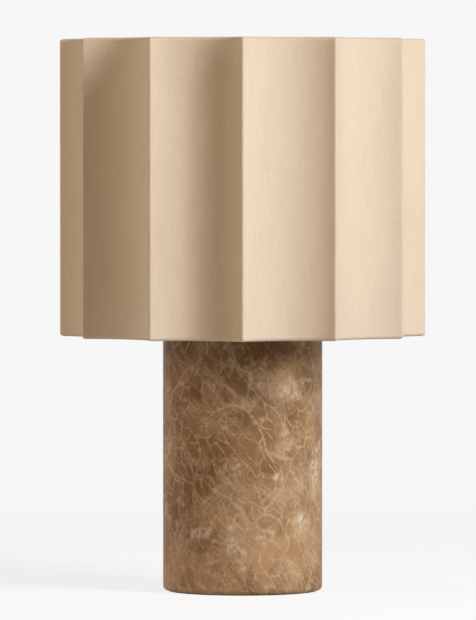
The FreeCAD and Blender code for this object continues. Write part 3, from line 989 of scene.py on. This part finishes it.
def fluted(points, along, least, material, shade):
    """A fluted wall grown from a closed profile, its last point the same as its first."""
    sizes = {
        "Flutes": shade.flutes,
        "Radius": Node("shade_cover").radius,
        "Flute Depth": shade.flute_depth,
        "Ridge Radius": shade.ridge_radius,
        "Least Ridge": least,
        "Flute Steps": FLUTE_STEPS,
        "Ridge Steps": RIDGE_STEPS,
    }
    return settled(grown(fluted_tree(), profile_mesh(points, along), material, sizes))


class LAMP_OT_shade_cloth(bpy.types.Operator):
    """Grow the fluted linen, turned in over both wires"""

    bl_idname = "lamp.shade_cloth"
    bl_label = "Shade cloth"

    def execute(self, context):
        shade = context.scene.lamp_shade
        node = Node("shade_cover")
        half = shade.thickness / 2
        edge = [
            (TUCKED_INSET, shade.hem),
            (TUCKED_INSET, HEM_PAST_WIRE + HEM_SLOPE, HEM_BEND),
            (TURNED_IN_INSET, HEM_PAST_WIRE, HEM_BEND),
            (TURNED_IN_INSET, 0, RIM_BEND),
            (half, 0, RIM_BEND),
        ]
        upper = [(inset, node.top - half - down, *bend) for inset, down, *bend in edge]
        lower = [(inset, node.bottom + half + up, *bend) for inset, up, *bend in edge[::-1]]
        path = eased(upper + lower)
        along = distances(path)
        loop = walled(path, shade.thickness)
        lengths = along + along[::-1]
        linen = linen_finish(tuple(shade.linen))
        mesh = fluted(loop + loop[:1], lengths + lengths[:1], SHEET_RIDGE, linen, shade)
        cloth = piece("shade_cloth", mesh, linen, node)
        return {"FINISHED"}


class LAMP_OT_shade_frame(bpy.types.Operator):
    """Grow the white lining and the two shaped wires, and bend the spider's arms"""

    bl_idname = "lamp.shade_frame"
    bl_label = "Shade lining and frame"

    def execute(self, context):
        shade = context.scene.lamp_shade
        cover = Node("shade_cover")
        low = cover.bottom + LINING_SET_BACK
        high = cover.top - LINING_SET_BACK
        outer = LINING_INSET
        inner = LINING_INNER_INSET
        corners = [(outer, low), (outer, high), (inner, high), (inner, low)]
        loop = eased(corners + corners[:1])
        white = lining_finish()
        mesh = fluted(loop, distances(loop), SHEET_RIDGE, white, shade)
        piece("white_lining", mesh, white, Node("shade_lining"))
        coat = wire_finish(tuple(context.scene.lamp_fittings.wire))
        self.wire("top_wire", Node("frame_top_ring"), coat, shade)
        self.wire("bottom_wire", Node("frame_bottom_ring"), coat, shade)
        self.spider(Node("spider"), coat)
        return {"FINISHED"}

    def wire(self, name, node, material, shade):
        """A round wire bent to the flutes, inside the lining."""
        radius = (node.top - node.bottom) / 2
        inset = WIRE_INSET + radius
        middle = (node.top + node.bottom) / 2
        angles = [math.tau * k / WIRE_SIDES for k in range(WIRE_SIDES + 1)]
        loop = [Vector((inset + radius * math.cos(a), middle + radius * math.sin(a))) for a in angles]
        piece(name, fluted(loop, distances(loop), WIRE_RIDGE, material, shade), material, node)

    def spider(self, node, material):
        """The washer on the lampholder's flange and the four strips down to the bottom wire."""
        high = node.top - STRIP_THICKNESS / 2
        low = node.bottom + STRIP_THICKNESS / 2
        inner = WASHER_RIM - STRIP_THICKNESS
        bends = [(inner + ARM_LEVEL, high, ARM_BEND), (ARM_REACH - ARM_LEVEL, low, ARM_BEND)]
        path = eased([(inner, high), *bends, (ARM_REACH, low)])
        arm = slab(walled(path, STRIP_THICKNESS * ARM_FLATTENED), ARM_WIDTH, SOFT)
        arms = grown(repeat_tree(), arm, material, {"Count": ARM_COUNT, "First Angle": ARM_ANGLE})
        bottom = node.top - STRIP_THICKNESS
        washer = turned(drum(WASHER_RIM, bottom, node.top, [SOFT] * 4, WASHER_BORE), 96, closed=True)
        piece("spider_frame", together(arms, washer), material, node)


class LAMP_OT_stone_column(bpy.types.Operator):
    """Turn the stone column with its recess, rod hole and the cord's way in"""

    bl_idname = "lamp.stone_column"
    bl_label = "Stone column"

    def execute(self, context):
        stone = context.scene.lamp_stone
        node = Node("marble_column")
        recess = Node("bottom_cover").radius + THREAD_GAP
        ceiling = Node("clamp_plate").top
        hole = Node("threaded_rod").radius + ROD_CLEARANCE
        corners = [
            (hole, ceiling, FINE),
            (recess, ceiling, FINE),
            (recess, node.bottom, FINE),
            (node.radius, node.bottom, stone.arris),
            (node.radius, node.top, stone.arris),
            (hole, node.top, FINE),
        ]
        mesh = turned(corners, 256, closed=True)
        gland_low, gland_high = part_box("cord_gland")
        height = (gland_low.z + gland_high.z) / 2
        seat = gland_high.y - GLAND_HEAD
        mesh = self.drilled(mesh, GLAND_HOLE_RADIUS, recess - DRILL_OVERRUN, seat, height)
        mesh = self.drilled(mesh, GLAND_SEAT_RADIUS, seat, node.radius + DRILL_OVERRUN, height)
        piece("stone_column", mesh, stone_finish(stone, node.radius), node)
        return {"FINISHED"}

    def drilled(self, mesh, radius, start, end, height):
        """The column's mesh with a round hole along Y at a height."""
        rod = turned(drum(radius, start, end, [0] * 4), 64)
        rod.transform(Matrix.Translation((0, 0, height)) @ Matrix.Rotation(-math.pi / 2, 4, "X"))
        cutter = placed("cutter", rod)
        column = placed("turning", mesh)
        cut = column.modifiers.new("cut", "BOOLEAN")
        cut.operation = "DIFFERENCE"
        cut.solver = "EXACT"
        cut.object = cutter
        holed = evaluated(column)
        bpy.data.objects.remove(cutter)
        return settled(holed)


class LAMP_OT_foot_pad(bpy.types.Operator):
    """Lay the felt pad under the stone"""

    bl_idname = "lamp.foot_pad"
    bl_label = "Foot pad"

    def execute(self, context):
        node = Node("foot_pad")
        corners = drum(node.radius, node.bottom, node.top, (0, CRISP, CRISP, 0))
        pad = piece("felt_pad", turned(corners, 128), felt_finish(), node)
        return {"FINISHED"}


class LAMP_OT_lampholder(bpy.types.Operator):
    """Mould the lampholder's ribbed cup and threaded sleeve, the ring and the brass plate"""

    bl_idname = "lamp.lampholder"
    bl_label = "Lampholder"

    def execute(self, context):
        fittings = context.scene.lamp_fittings
        black = plastic_finish("black plastic", tuple(fittings.plastic), 0.5, 0.4 * MM)
        brass = metal_finish("satin brass", tuple(fittings.brass), 0.32, True)
        self.plate(Node("top_plate"), brass)
        self.cup(Node("holder_cup"), black)
        self.sleeve(Node("holder_sleeve"), black, fittings.holder_pitch)
        self.ring(Node("shade_ring"), black)
        return {"FINISHED"}

    def plate(self, node, material):
        """The disc on the stone."""
        hole = Node("threaded_rod").radius + LOOSE_GAP
        corners = drum(node.radius, node.bottom, node.top, (CRISP, CRISP, SOFT, CRISP), hole)
        piece("brass_plate", turned(corners, 128, closed=True), material, node)

    def ribs(self, count, root, crest, bottom, top, width, material):
        """Small upright ribs round the axis, from the wall under them to their crests' radius."""
        inside = root - RIB_SUNK
        slope = (crest - inside) / 2
        outline = eased([(inside, bottom), (crest, bottom + slope), (crest, top - slope), (inside, top)])
        rib = slab(outline, width, width / 6)
        return grown(repeat_tree(), rib, material, {"Count": count, "First Angle": 0.0})

    def cup(self, node, material):
        """The lower half of the lampholder, round with a ribbed grip."""
        radius = 19.4 * MM
        crest = 20.0 * MM
        floor = node.bottom + 6 * MM
        pocket = 16.05 * MM / math.cos(math.pi / 8)
        rod = Node("threaded_rod").radius + THREAD_GAP
        corners = [
            (rod, node.bottom, CRISP),
            (radius - 1.5 * MM, node.bottom, 1.0 * MM),
            (radius, node.bottom + 3 * MM, 2.0 * MM),
            (radius, node.top, SLIGHT),
            (pocket, node.top, FINE),
            (pocket, floor, FINE),
            (rod, floor, CRISP),
        ]
        body = turned(corners, 96, closed=True)
        ribs = self.ribs(48, radius, crest, floor + 1.0 * MM, node.top - 1.2 * MM, 1.1 * MM, material)
        piece("lampholder_cup", together(body, ribs), material, node)

    def sleeve(self, node, material, pitch):
        """The upper half, with its flange and outside thread."""
        radius = 19.8 * MM
        bore = 13.4 * MM
        flange = 28.0 * MM
        flange_top = node.bottom + 2.5 * MM
        neck = flange_top + 0.8 * MM
        lip = 0.6 * MM
        brim = 0.6 * MM
        rounded = [(bore, node.bottom, FINE), (flange, node.bottom, SLIGHT), (flange, flange_top, brim)]
        wall = [(radius, flange_top), *upright(radius, neck, node.top - lip, 150)]
        mouth = [(radius - lip, node.top), (bore + SOFT, node.top), (bore, node.top - SOFT)]
        start = turned([*eased(rounded), *wall, *mouth], 144, closed=True)
        sizes = {
            "Radius": radius,
            "Pitch": pitch,
            "Depth": 0.7 * MM,
            "Bottom": neck + 2 * MM,
            "Top": node.top + pitch,
            "Flat": 0.45,
        }
        threaded = settled(grown(thread_tree(), start, material, sizes))
        piece("lampholder_sleeve", threaded, material, node)

    def ring(self, node, material):
        """The screwed ring that holds the shade's fitter down."""
        grip = 27.3 * MM
        crest = 28.1 * MM
        collar = 23.5 * MM
        bore = 20.1 * MM
        middle = node.bottom + 2.5 * MM
        corners = [
            (bore, node.bottom, FINE),
            (grip, node.bottom, SLIGHT),
            (grip, middle, SOFT),
            (collar, middle, 0.8 * MM),
            (collar, node.top, SOFT),
            (bore, node.top, SLIGHT),
        ]
        body = turned(corners, 96, closed=True)
        ribs = self.ribs(60, grip, crest, node.bottom + 0.1 * MM, middle - 0.1 * MM, 1.2 * MM, material)
        piece("holding_ring", together(body, ribs), material, node)


class LAMP_OT_bulb(bpy.types.Operator):
    """Make the bulb: opal envelope, housing, screw cap with its glass, and contact"""

    bl_idname = "lamp.bulb"
    bl_label = "Bulb"

    def execute(self, context):
        nickel = metal_finish("nickel", (0.74, 0.73, 0.71), 0.28, True)
        self.envelope(Node("bulb_envelope"))
        self.housing(Node("bulb_housing"))
        self.cap(Node("bulb_cap"), nickel, context.scene.lamp_fittings.cap_pitch)
        self.base(Node("bulb_cap"), Node("bulb_contact"), nickel)
        return {"FINISHED"}

    def envelope(self, node):
        """The opal tube with its domed end."""
        dome = 9.5 * MM
        corners = drum(node.radius, node.bottom, node.top, (0, SLIGHT, dome, 0))
        piece("bulb_envelope_opal", turned(corners, 96), opal_finish(), node)

    def housing(self, node):
        """The white housing, narrower towards the cap."""
        neck = Node("bulb_cap").radius + LOOSE_GAP
        corners = [
            (0, node.bottom),
            (neck, node.bottom, FINE),
            (neck + 0.3 * MM, node.bottom + 4 * MM, 2 * MM),
            (node.radius, node.bottom + 9 * MM, 6 * MM),
            (node.radius, node.top, SOFT),
            (0, node.top),
        ]
        white = plastic_finish("white plastic", srgb(236, 235, 230), 0.35, 0.6 * MM)
        piece("bulb_body", turned(corners, 96), white, node)

    def cap(self, node, material, pitch):
        """The screw cap with its rolled thread."""
        bottom = node.bottom + CAP_SHELL_RISE
        wall = upright(node.radius, bottom, node.top, 130)
        start = turned([(0, bottom), (node.radius - MM, bottom), *wall, (0, node.top)], 120)
        sizes = {
            "Radius": node.radius,
            "Pitch": pitch,
            "Depth": 0.85 * MM,
            "Bottom": bottom - pitch,
            "Top": node.top - 3 * MM,
            "Flat": 1.0,
        }
        threaded = settled(grown(thread_tree(), start, material, sizes))
        piece("bulb_screw_cap", threaded, material, node)

    def base(self, node, contact, material):
        """The black glass under the cap's shell and the contact in its middle."""
        top = node.bottom + CAP_SHELL_RISE
        corners = [
            (0, node.bottom),
            (contact.radius + 0.6 * MM, node.bottom, FINE),
            (node.radius - 2.5 * MM, top - 1.0 * MM, 1.5 * MM),
            (node.radius - 2.0 * MM, top + 0.2 * MM),
            (0, top + 0.2 * MM),
        ]
        glass = plastic_finish("black glass", srgb(26, 25, 27), 0.15, 2 * MM)
        piece("bulb_cap_glass", turned(corners, 72), glass, node, stands_in=False)
        tip = drum(contact.radius, contact.bottom, contact.top, (0, 0.9 * MM, 0, 0))
        piece("bulb_tip", turned(tip, 48), material, contact)


class LAMP_OT_fixings(bpy.types.Operator):
    """Finish the rod, nut, clamp plate, cover, wiring and contacts that keep their solid shapes"""

    bl_idname = "lamp.fixings"
    bl_label = "Fixings and wiring"

    def execute(self, context):
        fittings = context.scene.lamp_fittings
        black = plastic_finish("black cover", tuple(fittings.plastic), 0.55, 0.5 * MM)
        white = plastic_finish("white block", srgb(226, 226, 220), 0.45, 0.6 * MM)
        zinc = metal_finish("zinc steel", (0.6, 0.6, 0.58), 0.35, False)
        brass = metal_finish("contact brass", tuple(fittings.brass), 0.3, False)
        dressed("bottom_cover", black)
        dressed("cord_gland", black)
        dressed("terminal_block", white, SLIGHT)
        dressed("inner_lead", white)
        dressed("clamp_plate", zinc, FINE)
        dressed("rod_nut", zinc, FINE)
        dressed("threaded_rod", zinc)
        dressed("holder_insert", porcelain_finish(), SLIGHT)
        dressed("centre_contact", brass, SPRING_EDGE)
        dressed("side_contacts", brass, SPRING_EDGE)
        return {"FINISHED"}


class LAMP_PT_panel(bpy.types.Panel):
    """Lists the lamp's pieces and their settings"""

    bl_idname = "LAMP_PT_panel"
    bl_label = "Column Table Lamp"
    bl_space_type = "VIEW_3D"
    bl_region_type = "UI"
    bl_category = "Lamp"

    def draw(self, context):
        layout = self.layout
        for operator in OPERATORS:
            layout.operator(operator.bl_idname)
        for name in SETTINGS:
            group = getattr(context.scene, name)
            box = layout.box()
            for key in group.bl_rna.properties.keys():
                if key not in ("rna_type", "name"):
                    box.prop(group, key)


SETTINGS = {
    "lamp_shade": LampShadeSettings,
    "lamp_stone": LampStoneSettings,
    "lamp_fittings": LampFittingSettings,
    "lamp_stage": LampStageSettings,
}

OPERATORS = [
    LAMP_OT_stage,
    LAMP_OT_shade_cloth,
    LAMP_OT_shade_frame,
    LAMP_OT_stone_column,
    LAMP_OT_foot_pad,
    LAMP_OT_lampholder,
    LAMP_OT_bulb,
    LAMP_OT_fixings,
]


def register():
    for group in SETTINGS.values():
        bpy.utils.register_class(group)
    for name, group in SETTINGS.items():
        setattr(bpy.types.Scene, name, PointerProperty(type=group))
    for operator in OPERATORS:
        bpy.utils.register_class(operator)
    bpy.utils.register_class(LAMP_PT_panel)


def unregister():
    bpy.utils.unregister_class(LAMP_PT_panel)
    for operator in reversed(OPERATORS):
        bpy.utils.unregister_class(operator)
    for name, group in SETTINGS.items():
        delattr(bpy.types.Scene, name)
        bpy.utils.unregister_class(group)


def main():
    """Makes the whole lamp."""
    register()
    for operator in OPERATORS:
        group, name = operator.bl_idname.split(".")
        getattr(getattr(bpy.ops, group), name)()


if __name__ == "__main__":
    main()
